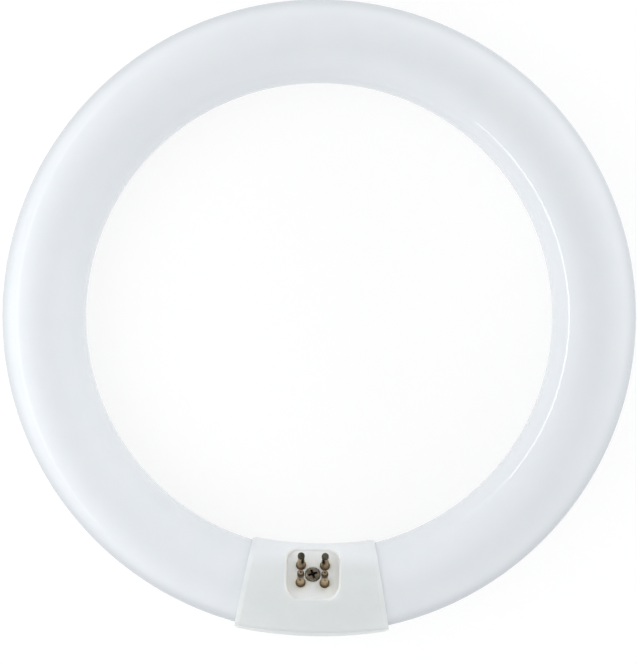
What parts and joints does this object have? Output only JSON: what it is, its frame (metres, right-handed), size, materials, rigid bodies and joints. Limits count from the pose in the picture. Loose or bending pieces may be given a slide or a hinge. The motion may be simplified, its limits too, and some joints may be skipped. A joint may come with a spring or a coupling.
{
  "type": "circular fluorescent tube",
  "caption": "Ring-shaped fluorescent lamp: a white coated glass tube bent into a circle, closed by a white plastic cap whose recessed pad carries round contact pins and a clamp screw.",
  "frame": {"origin": "on the ring's axis, level with the surface that the lamp lies on, which the back of the cap touches", "axes": "+Z along the ring's axis on the side that the pins point to, +Y from the cap to the far side of the ring"},
  "size_m": [0.212, 0.2131, 0.0349],
  "materials": {
    "coated_glass": "glossy clear glass over a matt white coating on its inside, opaque",
    "cap_plastic": "satin gloss white",
    "screw_steel": "dull, darkened",
    "pin_brass": "plated, tarnished brown grey",
    "lead_metal": "plain bright wire"
  },
  "bodies": {
    "root": {"glass_tube": "coated_glass", "cap_front_shell": "cap_plastic", "cap_rear_shell": "cap_plastic", "clamp_screw": "screw_steel", "contact_pin_upper_left": "pin_brass", "contact_pin_upper_right": "pin_brass", "contact_pin_lower_left": "pin_brass", "contact_pin_lower_right": "pin_brass", "lead_wire_upper_left": "lead_metal", "lead_wire_upper_right": "lead_metal", "lead_wire_lower_left": "lead_metal", "lead_wire_lower_right": "lead_metal"}
  },
  "joints": []
}
